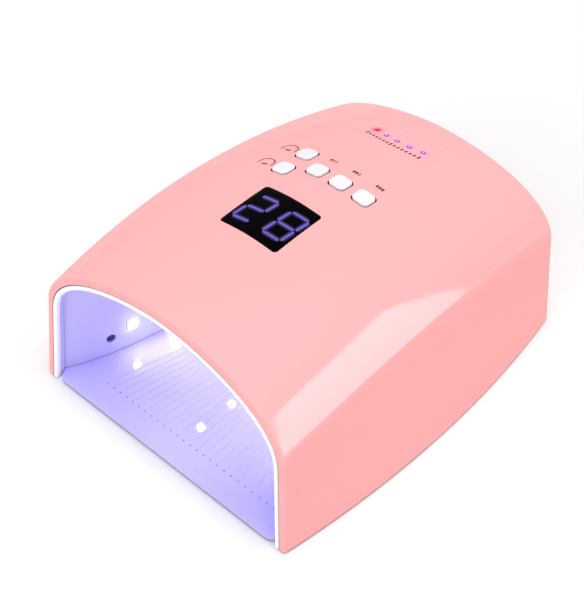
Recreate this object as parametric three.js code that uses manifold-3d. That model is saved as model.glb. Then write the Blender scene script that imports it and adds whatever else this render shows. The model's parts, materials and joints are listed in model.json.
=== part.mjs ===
// Cordless UV LED nail lamp: an arched casing over a hand chamber, standing on a lift-off base plate.
// Millimetres, +Z up. The origin is under the middle of the lamp, on the surface that it stands on.
// The hand opening faces -Y, and +X is to the right of a person who looks into it.
import * as THREE from "three";
import { mergeVertices } from "three/addons/utils/BufferGeometryUtils.js";
import Module from "manifold-3d";

const wasm = await Module();
wasm.setup();

// ---- Driving dimensions -------------------------------------------------------------------------

const FRONT = -114.2; // front plane of the casing, where it meets the ground
const BACK = 114.3; // flat back of the casing
const MID = (FRONT + BACK) / 2;
const HALF_LENGTH = (BACK - FRONT) / 2;
const LEAN = 0.09; // how far the front plane leans back per mm of height
const GAP = 0.3; // clearance between touching pieces

// The casing's section at the front, the middle and the back of its length.
const BASE_HALF_WIDTH = [91.9, 101.8, 92.3]; // side wall at the ground
const SHOULDER_HALF_WIDTH = [86.1, 89.3, 84.6]; // where the side wall meets the roof
const SHOULDER_HEIGHT = [60.6, 76.2, 63.3];
const ROOF_HEIGHT = [98.8, 112, 97.2];
const SHOULDER_ANGLE = [71.9, 68.7]; // the roof's slope at the shoulder, front and back, in degrees
const SHOULDER_PULL = [29, 29.3]; // how far the roof keeps that slope
const CROWN_PULL = [27.1, 20.6, 21.7]; // half-width over which the crown stays level
const CASING_BOTTOM = 1;
const WALL = 2.6;
const FRONT_FLANGE = 3;

// The white trim round the hand opening.
const OPENING_HALF_WIDTH = 87.3;
const OPENING_SPRING_HALF_WIDTH = 82.6; // where the straight sides turn into the arch
const OPENING_SPRING_HEIGHT = 53;
const OPENING_HEIGHT = 93.9;
const OPENING_SIDE_PULL = 30.2;
const OPENING_CROWN_PULL = 25.7;
const BEZEL_FACE = 2.8;
const BEZEL_DEPTH = 5;
const BEZEL_PROUD = 0.3;

// The reflector dome: it narrows from its mouth towards the back.
const LINER_WALL = 1.8;
const LINER_BOTTOM = 3.5;
const LINER_START = BEZEL_DEPTH + GAP; // distances into the chamber are taken from the front plane
const LINER_END = 174;
const MOUTH_HALF_WIDTH = 89.1;
const DEEP_HALF_WIDTH = 61.6;
const WIDTH_TAPER = 45; // depth over which most of the narrowing happens
const MOUTH_HEIGHT = 92.5;
const DEEP_HEIGHT = 76;
const HEIGHT_TAPER = 79;

// The base plate and its feet.
const PLATE_BOTTOM = 1.9;
const PLATE_TOP = 3.1;
const PLATE_EDGE_GAP = 3.4; // from the casing's outer face to the plate's edge
const PLATE_TONGUE_HALF_WIDTH = 83.8; // between the legs of the trim
const PLATE_CORNER = 6;
const FOOT_RADIUS = 7;
const FOOT_HEIGHT = 1.6;
const FEET = { left: -68, right: 68, front: -92, rear: 92 };

// The bottom frame, its screws and its magnets.
const FRAME_BOTTOM = 3.5;
const FRAME_TOP = 6;
const FRAME_FRONT = -92;
const FRAME_INSET = 4.2; // from the casing's outer face
const SCREW_ROWS = { front: -62, rear: 70 };
const SCREW_INSET = 6.4; // from the casing's outer face
const SCREW_RADIUS = 1.2;
const SCREW_HEAD_RADIUS = 2.8;
const SCREW_HEAD_HEIGHT = 1.4;
const SCREW_LENGTH = 14;
const BOSS_RADIUS = 4;
const BOSS_HEIGHT = 26;
const MAGNET_ROWS = { front: -30, rear: 52 };
const MAGNET_INSET = 14;
const MAGNET_RADIUS = 5;

// The controls on the roof.
const DISPLAY = { x: 0, y: -25.9, width: 38.1, length: 34.3, corner: 2.4 };
const TIMER_ROW = 18.8;
const MODE_COLUMN = -24.2;
const KEYS = {
  timer_left: [-8.2, TIMER_ROW],
  timer_middle: [7.8, TIMER_ROW],
  timer_right: [23.8, TIMER_ROW],
  mode_front: [MODE_COLUMN, 9.5],
  mode_rear: [MODE_COLUMN, 28.2],
};
const KEY_SIZE = 10.4;
const KEY_CORNER = 2.9;
const KEY_PROUD = 1;
const KEY_GAP = 0.4;
const KEY_TRAVEL = 0.8;
const KEY_FLANGE = 13;
const INDICATOR_ROW = 76.2; // the middle one; the others stand back from it
const INDICATOR_BOW = 0.65;
const INDICATOR_PITCH = 8.25;
const INDICATOR_RADIUS = 1.5;
const RECESS_DEPTH = 0.5;
const RECESS = { front: 67, back: 90.5, frontHalfWidth: 27.6, backHalfWidth: 21.6 };

// The electronics.
const BOARD_TOP = 99.6;
const BOARD_THICKNESS = 1.6;
const INDICATOR_BOARD_TOP = 95;
const SWITCH_SIZE = 6;
const SWITCH_HEIGHT = 3.2;
const CELL_RADIUS = 9.2;
const CELL_LENGTH = 65;
const TRAY_WALL = 1.2;
const JACK_HEIGHT = 36;
const JACK_RADIUS = 4;
const LED_SIZE = 6.4;
const WINDOW_SIZE = 8;
// Each row of beads: its middle bead's depth in the chamber, how far up the section it sits, its pitch.
const LED_ROWS = {
  wall: { depth: 72, height: 19, pitch: 27 },
  roof: { depth: 93, height: 71, pitch: 26 },
};
const LED_COUNT = 3;
const SENSOR = { depth: 32, height: 15, radius: 2.6 };

// ---- Solids -------------------------------------------------------------------------------------

// A closed geometry as a manifold-3d solid.
function solid(geometry) {
  const bare = geometry.clone();
  bare.deleteAttribute("normal");
  bare.deleteAttribute("uv");
  const merged = mergeVertices(bare, 1e-4);
  return new wasm.Manifold(
    new wasm.Mesh({
      numProp: 3,
      vertProperties: merged.attributes.position.array,
      triVerts: new Uint32Array(merged.index.array),
    }),
  );
}

function geometryOf(made) {
  const { vertProperties, triVerts } = made.getMesh();
  const geometry = new THREE.BufferGeometry();
  geometry.setAttribute("position", new THREE.BufferAttribute(vertProperties, 3));
  geometry.setIndex(new THREE.BufferAttribute(triVerts, 1));
  geometry.computeVertexNormals();
  return geometry;
}

// A body through rings of equal length, each running anticlockwise as seen from the front.
function loft(rings) {
  const count = rings[0].length;
  const last = (rings.length - 1) * count;
  const positions = rings.flat().flatMap((p) => [p.x, p.y, p.z]);
  const triangles = [];
  for (let ring = 0; ring < rings.length - 1; ring++) {
    for (let i = 0; i < count; i++) {
      const a = ring * count + i;
      const b = ring * count + ((i + 1) % count);
      triangles.push(a, a + count, b + count, a, b + count, b);
    }
  }
  const outline = (ring) => ring.map((p) => new THREE.Vector2(p.x, p.z));
  for (const [a, b, c] of THREE.ShapeUtils.triangulateShape(outline(rings[0]), [])) {
    triangles.push(a, b, c);
  }
  for (const [a, b, c] of THREE.ShapeUtils.triangulateShape(outline(rings.at(-1)), [])) {
    triangles.push(last + a, last + c, last + b);
  }
  const geometry = new THREE.BufferGeometry();
  geometry.setAttribute("position", new THREE.Float32BufferAttribute(positions, 3));
  geometry.setIndex(triangles);
  return solid(geometry);
}

function prism(shape, low, high, curveSegments = 3) {
  const options = { depth: high - low, bevelEnabled: false, curveSegments };
  return solid(new THREE.ExtrudeGeometry(shape, options).translate(0, 0, low));
}

function box(width, length, low, high, x = 0, y = 0) {
  const geometry = new THREE.BoxGeometry(width, length, high - low);
  return solid(geometry.translate(x, y, (low + high) / 2));
}

function cylinder(radius, low, high, x = 0, y = 0, segments = 16) {
  const geometry = new THREE.CylinderGeometry(radius, radius, high - low, segments);
  return solid(geometry.rotateX(Math.PI / 2).translate(x, y, (low + high) / 2));
}

function roundedRect(width, length, corner, x = 0, y = 0) {
  const [right, top] = [width / 2, length / 2];
  const shape = new THREE.Shape();
  shape.absarc(x + right - corner, y + top - corner, corner, 0, Math.PI / 2);
  shape.absarc(x - right + corner, y + top - corner, corner, Math.PI / 2, Math.PI);
  shape.absarc(x - right + corner, y - top + corner, corner, Math.PI, 1.5 * Math.PI);
  shape.absarc(x + right - corner, y - top + corner, corner, 1.5 * Math.PI, 2 * Math.PI);
  return shape;
}

// ---- Sections -----------------------------------------------------------------------------------

const ARCH_STEPS = 10; // straight pieces in half an arch

// A smooth value through its front, middle and back values; u runs from -1 to 1 along the casing.
function along([front, middle, back], u) {
  return middle + ((back - front) / 2) * u + ((front + back) / 2 - middle) * u * u;
}

// Points of a half-section, from the crown down to the ground, moved outwards by offset.
function offsetOutline(points, offset) {
  return points.map((point, i) => {
    const before = points[i - 1] ?? new THREE.Vector2(-points[1].x, points[1].y);
    const after = points[i + 1] ?? point.clone().multiplyScalar(2).sub(before);
    const into = point.clone().sub(before).normalize();
    const away = after.clone().sub(point).normalize();
    const normal = new THREE.Vector2(-into.y - away.y, into.x + away.x).normalize();
    const mitre = normal.dot(new THREE.Vector2(-into.y, into.x));
    return point.clone().addScaledVector(normal, offset / mitre);
  });
}

// The closed ring of a half-section that runs from the crown to the ground, cut off level at bottom.
function ring(half, offset, bottom, yAt) {
  const moved = offsetOutline(half, offset);
  const foot = moved.at(-1);
  const above = moved.at(-2);
  const slope = (foot.x - above.x) / (foot.y - above.y);
  moved[moved.length - 1] = new THREE.Vector2(foot.x + slope * (bottom - foot.y), bottom);
  const right = moved.toReversed();
  const left = moved.slice(1).map((p) => new THREE.Vector2(-p.x, p.y));
  return [...right, ...left].map((p) => new THREE.Vector3(p.x, yAt(p.y), p.y));
}

function archPoints(curve, foot, segments) {
  return [...curve.getPoints(segments).toReversed(), foot];
}

// The casing's outer half-section at u.
function casingHalf(u) {
  const k = (u + 1) / 2;
  const mix = ([front, back]) => front + (back - front) * k;
  const angle = THREE.MathUtils.degToRad(mix(SHOULDER_ANGLE));
  const shoulder = new THREE.Vector2(along(SHOULDER_HALF_WIDTH, u), along(SHOULDER_HEIGHT, u));
  const rise = new THREE.Vector2(-Math.cos(angle), Math.sin(angle)).multiplyScalar(mix(SHOULDER_PULL));
  const crown = along(ROOF_HEIGHT, u);
  const roof = new THREE.CubicBezierCurve(
    shoulder,
    shoulder.clone().add(rise),
    new THREE.Vector2(along(CROWN_PULL, u), crown),
    new THREE.Vector2(0, crown),
  );
  return archPoints(roof, new THREE.Vector2(along(BASE_HALF_WIDTH, u), 0), ARCH_STEPS);
}

// How much of the front plane's lean is left at a depth behind it.
const leanAt = (depth) => LEAN * Math.max(0, 1 - depth / HALF_LENGTH);

// The casing's form, offset outwards, between two depths behind the front plane.
function casingForm(offset, bottom, from, to, steps = 12) {
  const rings = [];
  for (let i = 0; i <= steps; i++) {
    const depth = from + ((to - from) * i) / steps;
    const half = casingHalf(depth / HALF_LENGTH - 1);
    rings.push(ring(half, offset, bottom, (z) => FRONT + depth + leanAt(depth) * z));
  }
  return loft(rings);
}

// The half-outline of the trim round the opening.
function openingHalf() {
  const arch = new THREE.CubicBezierCurve(
    new THREE.Vector2(OPENING_SPRING_HALF_WIDTH, OPENING_SPRING_HEIGHT),
    new THREE.Vector2(OPENING_SPRING_HALF_WIDTH - 2.5, OPENING_SPRING_HEIGHT + OPENING_SIDE_PULL),
    new THREE.Vector2(OPENING_CROWN_PULL, OPENING_HEIGHT),
    new THREE.Vector2(0, OPENING_HEIGHT),
  );
  return archPoints(arch, new THREE.Vector2(OPENING_HALF_WIDTH, 0), ARCH_STEPS);
}

function openingForm(offset, bottom, from, to) {
  const at = (depth) => ring(openingHalf(), offset, bottom, (z) => FRONT + depth + leanAt(depth) * z);
  return loft([at(from), at(to)]);
}

const taper = (depth, mouth, deep, over) => deep + (mouth - deep) * Math.exp(-depth / over);

// The dome's inner half-section: the inside of the trim, drawn in as the chamber narrows.
function linerHalf(depth) {
  const inside = offsetOutline(openingHalf(), -BEZEL_FACE);
  const kx = taper(depth, MOUTH_HALF_WIDTH, DEEP_HALF_WIDTH, WIDTH_TAPER) / inside.at(-1).x;
  const kz = taper(depth, MOUTH_HEIGHT, DEEP_HEIGHT, HEIGHT_TAPER) / inside[0].y;
  return inside.map((p) => new THREE.Vector2(p.x * kx, p.y * kz));
}

function linerForm(offset, bottom, from, to, steps = 9) {
  const rings = [];
  for (let i = 0; i <= steps; i++) {
    const depth = from + ((to - from) * i) / steps;
    rings.push(ring(linerHalf(depth), offset, bottom, (z) => FRONT + depth + leanAt(depth) * z));
  }
  return loft(rings);
}

// Half-width of the casing at the ground, at y.
const baseHalfWidth = (y) => along(BASE_HALF_WIDTH, (y - MID) / HALF_LENGTH);

// A flat outline that follows the casing's sides, inset from them, between two values of y.
function planShape(inset, from, to, steps = 16) {
  const side = [];
  for (let i = 0; i <= steps; i++) {
    const y = from + ((to - from) * i) / steps;
    side.push(new THREE.Vector2(baseHalfWidth(y) - inset, y));
  }
  const mirrored = side.map((p) => new THREE.Vector2(-p.x, p.y)).toReversed();
  return new THREE.Shape([...side, ...mirrored]);
}

// The dome's outline on the ground, moved outwards by offset.
function chamberPlan(offset, steps = 9) {
  const side = [];
  for (let i = 0; i <= steps; i++) {
    const depth = (LINER_END * i) / steps;
    side.push(new THREE.Vector2(linerHalf(depth).at(-1).x + offset, FRONT + depth));
  }
  side.push(new THREE.Vector2(side.at(-1).x, FRONT + LINER_END + offset));
  const mirrored = side.map((p) => new THREE.Vector2(-p.x, p.y)).toReversed();
  return new THREE.Shape([...side, ...mirrored]);
}

// ---- Casing, trim, dome -------------------------------------------------------------------------

const CASING_LENGTH = BACK - FRONT;

// The shell between two offsets of the roof, cut to a plan outline.
function roofSlice(shape, outer, inner) {
  const column = prism(shape, ROOF_HEIGHT[0] - 15, ROOF_HEIGHT[1] + 5);
  const above = column.intersect(casingForm(outer, 0, 20, CASING_LENGTH - 6));
  return above.subtract(casingForm(inner, -5, 10, CASING_LENGTH - 2));
}

function recessShape() {
  const { front, back, frontHalfWidth, backHalfWidth } = RECESS;
  return new THREE.Shape([
    new THREE.Vector2(-frontHalfWidth, front),
    new THREE.Vector2(frontHalfWidth, front),
    new THREE.Vector2(backHalfWidth, back),
    new THREE.Vector2(-backHalfWidth, back),
  ]);
}

const indicatorSpots = [-2, -1, 0, 1, 2].map((i) => [
  i * INDICATOR_PITCH,
  INDICATOR_ROW + i * i * INDICATOR_BOW,
]);

const screwSpots = [];
const magnetSpots = [];
for (const [side, sign] of [["left", -1], ["right", 1]]) {
  for (const [row, y] of Object.entries(SCREW_ROWS)) {
    screwSpots.push({ name: `${row}_${side}`, x: sign * (baseHalfWidth(y) - SCREW_INSET), y });
  }
  for (const [row, y] of Object.entries(MAGNET_ROWS)) {
    magnetSpots.push({ name: `${row}_${side}`, x: sign * (baseHalfWidth(y) - MAGNET_INSET), y });
  }
}

function outerShell() {
  let shell = casingForm(0, CASING_BOTTOM, 0, CASING_LENGTH);
  shell = shell.subtract(casingForm(-WALL, -5, FRONT_FLANGE, CASING_LENGTH - WALL));
  shell = shell.subtract(openingForm(GAP, -5, -5, FRONT_FLANGE + 5));
  for (const { x, y } of screwSpots) {
    const boss = cylinder(BOSS_RADIUS, FRAME_TOP + GAP, BOSS_HEIGHT, x, y);
    const hole = cylinder(SCREW_RADIUS + GAP, 0, FRAME_TOP + SCREW_LENGTH, x, y, 12);
    shell = shell.add(boss.intersect(casingForm(-0.5, 0, 5, CASING_LENGTH - 5))).subtract(hole);
  }
  const { width, length, corner, x, y } = DISPLAY;
  const clear = 2 * GAP;
  shell = shell.subtract(prism(roundedRect(width + clear, length + clear, corner, x, y), 90, 120));
  for (const [keyX, keyY] of Object.values(KEYS)) {
    const size = KEY_SIZE + 2 * KEY_GAP;
    shell = shell.subtract(prism(roundedRect(size, size, KEY_CORNER + KEY_GAP, keyX, keyY), 90, 120));
  }
  const floor = casingForm(-RECESS_DEPTH, 0, 5, CASING_LENGTH - 5);
  shell = shell.subtract(prism(recessShape(), 90, 120).subtract(floor));
  for (const [pipeX, pipeY] of indicatorSpots) {
    shell = shell.subtract(cylinder(INDICATOR_RADIUS + GAP, 90, 120, pipeX, pipeY, 12));
  }
  return shell.subtract(throughBack(JACK_RADIUS + GAP, BACK - 10, BACK + 10));
}

// A round bar along Y at the height of the charging inlet.
function throughBack(radius, from, to) {
  const geometry = new THREE.CylinderGeometry(radius, radius, to - from, 16);
  return solid(geometry.translate(0, (from + to) / 2, JACK_HEIGHT));
}

function frontBezel() {
  const ringBody = openingForm(0, CASING_BOTTOM, -BEZEL_PROUD, BEZEL_DEPTH);
  return ringBody.subtract(openingForm(-BEZEL_FACE, -5, -5, BEZEL_DEPTH + 5));
}

// The frame of a place on the dome's wall: z points out of the chamber, y runs into it.
function wallFrame(depth, height, sign) {
  const half = linerHalf(depth);
  const upper = half.findLastIndex((p) => p.y >= height);
  const [a, b] = [half[upper], half[upper + 1]];
  const k = (a.y - height) / (a.y - b.y);
  const point = a.clone().lerp(b, k);
  const lean = leanAt(depth);
  const origin = new THREE.Vector3(sign * point.x, FRONT + depth + lean * height, height);
  const further = linerHalf(depth + 1);
  const next = further[upper].clone().lerp(further[upper + 1], k);
  const inward = new THREE.Vector3(sign * (next.x - point.x), 1, next.y - point.y).normalize();
  const climb = new THREE.Vector3(sign * (a.x - b.x), 0, a.y - b.y).normalize();
  const out = new THREE.Vector3().crossVectors(inward, climb).normalize();
  if (out.x * sign < 0) out.negate();
  const across = new THREE.Vector3().crossVectors(inward, out).normalize();
  return new THREE.Matrix4().makeBasis(across, inward, out).setPosition(origin);
}

function blockAt(frame, width, length, from, to, shift = 0) {
  const geometry = new THREE.BoxGeometry(width, length, to - from);
  return solid(geometry.translate(0, shift, (from + to) / 2).applyMatrix4(frame));
}

function roundAt(frame, radius, from, to) {
  const geometry = new THREE.CylinderGeometry(radius, radius, to - from, 16).rotateX(Math.PI / 2);
  return solid(geometry.translate(0, 0, (from + to) / 2).applyMatrix4(frame));
}

const SIDES = { left: -1, right: 1 };
const BEAD_RECESS = 1; // the middle bead's face lies this far behind the dome's inner face
const BOARD_STANDOFF = 4.6;
const LED_BOARD_THICKNESS = 1.2;

const ledPlaces = [];
for (const [rowName, row] of Object.entries(LED_ROWS)) {
  for (const [side, sign] of Object.entries(SIDES)) {
    const frame = wallFrame(row.depth, row.height, sign);
    const shifts = Array.from({ length: LED_COUNT }, (_, i) => (i - (LED_COUNT - 1) / 2) * row.pitch);
    ledPlaces.push({ name: `${rowName}_${side}`, frame, shifts, pitch: row.pitch });
  }
}

function reflectorLiner() {
  let liner = linerForm(LINER_WALL, LINER_BOTTOM, LINER_START, LINER_END + LINER_WALL);
  liner = liner.subtract(linerForm(0, -5, 0, LINER_END));
  for (const { frame, shifts } of ledPlaces) {
    for (const shift of shifts) {
      liner = liner.subtract(blockAt(frame, WINDOW_SIZE, WINDOW_SIZE, -3, 6, shift));
    }
  }
  for (const sign of Object.values(SIDES)) {
    const frame = wallFrame(SENSOR.depth, SENSOR.height, sign);
    liner = liner.subtract(roundAt(frame, SENSOR.radius + GAP, -3, 6));
  }
  return liner;
}

// ---- Base and bottom ----------------------------------------------------------------------------

function basePlate() {
  const tongue = roundedRect(2 * PLATE_TONGUE_HALF_WIDTH, 60, PLATE_CORNER, 0, FRONT + 30);
  const body = planShape(PLATE_EDGE_GAP, FRONT + BEZEL_DEPTH + 1, BACK - PLATE_EDGE_GAP);
  return prism(tongue, PLATE_BOTTOM, PLATE_TOP).add(prism(body, PLATE_BOTTOM, PLATE_TOP));
}

function bottomFrame() {
  const outline = planShape(FRAME_INSET, FRAME_FRONT, BACK - WALL - 2 * GAP, 10);
  let frame = prism(outline, FRAME_BOTTOM, FRAME_TOP);
  frame = frame.subtract(prism(chamberPlan(LINER_WALL + 2 * GAP), 0, 10));
  for (const { x, y } of screwSpots) {
    frame = frame.subtract(cylinder(SCREW_RADIUS + GAP, 0, 10, x, y, 12));
    const seat = FRAME_BOTTOM + SCREW_HEAD_HEIGHT + GAP;
    frame = frame.subtract(cylinder(SCREW_HEAD_RADIUS + GAP, 0, seat, x, y));
  }
  for (const { x, y } of magnetSpots) {
    frame = frame.subtract(cylinder(MAGNET_RADIUS + GAP, 0, 10, x, y));
  }
  return frame;
}

function screw(x, y) {
  const head = cylinder(SCREW_HEAD_RADIUS, FRAME_BOTTOM, FRAME_BOTTOM + SCREW_HEAD_HEIGHT, x, y);
  const shank = cylinder(SCREW_RADIUS, FRAME_BOTTOM, FRAME_BOTTOM + SCREW_LENGTH, x, y, 12);
  return head.add(shank);
}

// ---- Controls -----------------------------------------------------------------------------------

const SWITCH_TOP = BOARD_TOP + GAP + SWITCH_HEIGHT;

// A key: a cap that follows the roof, a flange behind the wall and a stem down to its switch.
function key(x, y) {
  const cap = roofSlice(roundedRect(KEY_SIZE, KEY_SIZE, KEY_CORNER, x, y), KEY_PROUD, -WALL - 1.2);
  const flangeShape = roundedRect(KEY_FLANGE, KEY_FLANGE, KEY_CORNER + 1, x, y);
  const flange = roofSlice(flangeShape, -WALL - GAP, -WALL - 1.2);
  const stem = cylinder(2, SWITCH_TOP + KEY_TRAVEL + GAP, 115, x, y, 10);
  return cap.add(flange).add(stem.intersect(casingForm(-1, 0, 20, CASING_LENGTH - 6)));
}

function tactSwitch(x, y) {
  const body = box(SWITCH_SIZE, SWITCH_SIZE, BOARD_TOP + GAP, SWITCH_TOP - 0.8, x, y);
  return body.add(cylinder(1.7, BOARD_TOP + GAP, SWITCH_TOP, x, y, 10));
}

function displayWindow() {
  const { width, length, corner, x, y } = DISPLAY;
  return roofSlice(roundedRect(width, length, corner, x, y), -0.15, -2);
}

function lightPipe(x, y) {
  const pipe = cylinder(INDICATOR_RADIUS, INDICATOR_BOARD_TOP + GAP, 120, x, y, 12);
  return pipe.intersect(casingForm(-RECESS_DEPTH, 0, 20, CASING_LENGTH - 6));
}

// ---- Power --------------------------------------------------------------------------------------

const CELL_GAP = 0.4;
const TRAY = { y: 89.6, floor: FRAME_TOP + GAP, height: 12 };
const CELL_X = CELL_LENGTH / 2 + CELL_GAP;
const CELL_Y = CELL_RADIUS + CELL_GAP / 2;
const CELL_Z = TRAY.floor + TRAY_WALL + CELL_GAP + CELL_RADIUS;

function batteryTray() {
  const width = 4 * CELL_X + 2 * CELL_GAP;
  const length = 4 * CELL_Y + 2 * CELL_GAP;
  const top = TRAY.floor + TRAY.height;
  const outer = box(width + 2 * TRAY_WALL, length + 2 * TRAY_WALL, TRAY.floor, top, 0, TRAY.y);
  return outer.subtract(box(width, length, TRAY.floor + TRAY_WALL, top + 1, 0, TRAY.y));
}

function batteryCell(x, y) {
  const nub = 2.8;
  const profile = [
    [0, 0],
    [CELL_RADIUS - 0.6, 0],
    [CELL_RADIUS, 0.6],
    [CELL_RADIUS, CELL_LENGTH - 1.6],
    [CELL_RADIUS - 0.8, CELL_LENGTH - 0.8],
    [nub, CELL_LENGTH - 0.8],
    [nub, CELL_LENGTH],
    [0, CELL_LENGTH],
  ].map(([r, z]) => new THREE.Vector2(r, z));
  const geometry = new THREE.LatheGeometry(profile, 16).rotateZ(-Math.PI / 2);
  return solid(geometry.translate(x - CELL_LENGTH / 2, y, CELL_Z));
}

function chargingJack() {
  const innerFace = BACK - WALL - GAP;
  const body = box(11, 14, JACK_HEIGHT - 6, JACK_HEIGHT + 6, 0, innerFace - 7);
  const barrel = throughBack(JACK_RADIUS, innerFace - 1, BACK - 0.2);
  const pin = throughBack(1, innerFace - 11, BACK - 1.4);
  return body.add(barrel).subtract(throughBack(2.8, innerFace - 9, BACK + 5)).add(pin);
}

// ---- Assembly -----------------------------------------------------------------------------------

const finish = (color, roughness, metalness = 0) =>
  new THREE.MeshStandardMaterial({ color, roughness, metalness });

const pinkPlastic = () => finish(0xffbdbd, 0.18);
const whitePlastic = () => finish(0xfdf6fb, 0.3);
const violetWhite = () => finish(0xcfc8ff, 0.4);
const platedSteel = () => finish(0xc9c2ff, 0.25, 0.3);
const blackAcrylic = () => finish(0x07060c, 0.08);
const blackPlastic = () => finish(0x17171a, 0.5);
const boardGreen = () => finish(0x1d5a36, 0.45);
const boardWhite = () => finish(0xe9ecef, 0.5);
const blackRubber = () => finish(0x222224, 0.85);
const brightSteel = () => finish(0xc4c7cc, 0.3, 1);
const cellWrap = () => finish(0x2f6fb5, 0.4);
const beadYellow = () => finish(0xfff4c8, 0.3);
const sensorNavy = () => finish(0x1b1a4a, 0.2);
const clearViolet = () => finish(0xb06fd0, 0.2);

const base = new THREE.Group();
const housing = new THREE.Group();

function place(group, name, made, material) {
  const mesh = new THREE.Mesh(geometryOf(made), material);
  mesh.name = name;
  group.add(mesh);
}

place(base, "base_plate", basePlate(), platedSteel());
for (const row of ["front", "rear"]) {
  for (const side of ["left", "right"]) {
    const foot = cylinder(FOOT_RADIUS, 0, FOOT_HEIGHT, FEET[side], FEET[row]);
    place(base, `foot_${row}_${side}`, foot, blackRubber());
  }
}

place(housing, "outer_shell", outerShell(), pinkPlastic());
place(housing, "front_bezel", frontBezel(), whitePlastic());
place(housing, "reflector_liner", reflectorLiner(), violetWhite());
place(housing, "bottom_frame", bottomFrame(), whitePlastic());
for (const { name, x, y } of screwSpots) {
  place(housing, `screw_${name}`, screw(x, y), brightSteel());
}
for (const { name, x, y } of magnetSpots) {
  const magnet = cylinder(MAGNET_RADIUS, FRAME_BOTTOM + 0.1, FRAME_TOP - 0.1, x, y);
  place(housing, `magnet_${name}`, magnet, brightSteel());
}

const mainBoard = box(72, 90, BOARD_TOP - BOARD_THICKNESS, BOARD_TOP, 0, -6);
place(housing, "control_board", mainBoard, boardGreen());
const displayBlock = box(34, 30, BOARD_TOP + GAP, BOARD_TOP + 5.6, DISPLAY.x, DISPLAY.y);
place(housing, "display_module", displayBlock, blackPlastic());
place(housing, "display_window", displayWindow(), blackAcrylic());
for (const [name, [x, y]] of Object.entries(KEYS)) {
  place(housing, `button_${name}`, key(x, y), whitePlastic());
  place(housing, `switch_${name}`, tactSwitch(x, y), blackPlastic());
}
const gaugeBoard = [52, 12, INDICATOR_BOARD_TOP - BOARD_THICKNESS, INDICATOR_BOARD_TOP];
const gaugeY = INDICATOR_ROW + 2 * INDICATOR_BOW;
place(housing, "indicator_board", box(...gaugeBoard, 0, gaugeY), boardGreen());
indicatorSpots.forEach(([x, y], i) => {
  place(housing, `indicator_${i + 1}`, lightPipe(x, y), clearViolet());
});

for (const { name, frame, shifts, pitch } of ledPlaces) {
  const strip = pitch * (LED_COUNT - 1) + 14;
  const [near, far] = [BOARD_STANDOFF, BOARD_STANDOFF + LED_BOARD_THICKNESS];
  place(housing, `led_board_${name}`, blockAt(frame, 12, strip, near, far), boardWhite());
  shifts.forEach((shift, i) => {
    const bead = blockAt(frame, LED_SIZE, LED_SIZE, BEAD_RECESS, near - GAP, shift);
    place(housing, `led_${name}_${i + 1}`, bead, beadYellow());
  });
}
for (const [side, sign] of Object.entries(SIDES)) {
  const frame = wallFrame(SENSOR.depth, SENSOR.height, sign);
  place(housing, `sensor_${side}`, roundAt(frame, SENSOR.radius, 0.3, 5), sensorNavy());
}

place(housing, "battery_tray", batteryTray(), blackPlastic());
[[-1, -1], [1, -1], [-1, 1], [1, 1]].forEach(([signX, signY], i) => {
  const cell = batteryCell(signX * CELL_X, TRAY.y + signY * CELL_Y);
  place(housing, `battery_cell_${i + 1}`, cell, cellWrap());
});
place(housing, "charging_jack", chargingJack(), blackPlastic());

const lamp = new THREE.Group();
lamp.add(base, housing);

export default lamp;
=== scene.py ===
"""The looks of a cordless UV LED nail lamp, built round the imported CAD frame.

Metres, +Z up. The hand opening faces -Y, and +X is to the right of a person who looks into it."""
import json
import math

import bmesh
import bpy
from mathutils import Matrix, Vector


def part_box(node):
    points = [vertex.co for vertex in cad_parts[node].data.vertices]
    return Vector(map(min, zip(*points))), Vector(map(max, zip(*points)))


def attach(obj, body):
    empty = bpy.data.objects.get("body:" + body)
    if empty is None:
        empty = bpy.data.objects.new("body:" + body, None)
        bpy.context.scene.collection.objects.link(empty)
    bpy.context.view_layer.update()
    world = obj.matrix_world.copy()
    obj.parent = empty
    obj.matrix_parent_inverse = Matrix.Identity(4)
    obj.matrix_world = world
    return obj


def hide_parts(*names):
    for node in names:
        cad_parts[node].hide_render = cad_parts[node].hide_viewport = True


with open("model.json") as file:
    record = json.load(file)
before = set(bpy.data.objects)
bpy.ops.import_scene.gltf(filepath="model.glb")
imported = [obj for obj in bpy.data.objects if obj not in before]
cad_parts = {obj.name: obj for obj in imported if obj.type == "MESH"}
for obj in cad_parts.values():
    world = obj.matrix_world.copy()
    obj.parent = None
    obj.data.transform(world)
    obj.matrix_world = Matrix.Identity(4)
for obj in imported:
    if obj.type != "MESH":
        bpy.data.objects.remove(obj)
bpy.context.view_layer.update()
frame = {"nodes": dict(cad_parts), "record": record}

MM = 0.001
scene = bpy.context.scene

# ---- Camera ----

CAMERA_AZIMUTH = math.radians(42.74)
CAMERA_ELEVATION = math.radians(42.82)
CAMERA_TARGET = Vector((1.03 * MM, -11.16 * MM, 40.4 * MM))
CAMERA_DISTANCE = 642.64 * MM
LENS = 69.7
SENSOR_WIDTH = 36
SHIFT_UP = 0.0083
CLIP_START = 0.01


def bearing(azimuth, elevation=0.0):
    """The direction of an azimuth, counted from the front to the right, and an elevation."""
    level = math.cos(elevation)
    return Vector((math.sin(azimuth) * level, -math.cos(azimuth) * level, math.sin(elevation)))


def make_camera():
    data = bpy.data.cameras.new("camera")
    data.lens = LENS
    data.sensor_width = SENSOR_WIDTH
    data.shift_y = SHIFT_UP
    data.clip_start = CLIP_START
    camera = bpy.data.objects.new("camera", data)
    scene.collection.objects.link(camera)
    away = bearing(CAMERA_AZIMUTH, CAMERA_ELEVATION)
    camera.location = CAMERA_TARGET + CAMERA_DISTANCE * away
    camera.rotation_euler = away.to_track_quat("Z", "Y").to_euler()
    scene.camera = camera


make_camera()

# ---- The casing's form, as in the CAD ----

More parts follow.
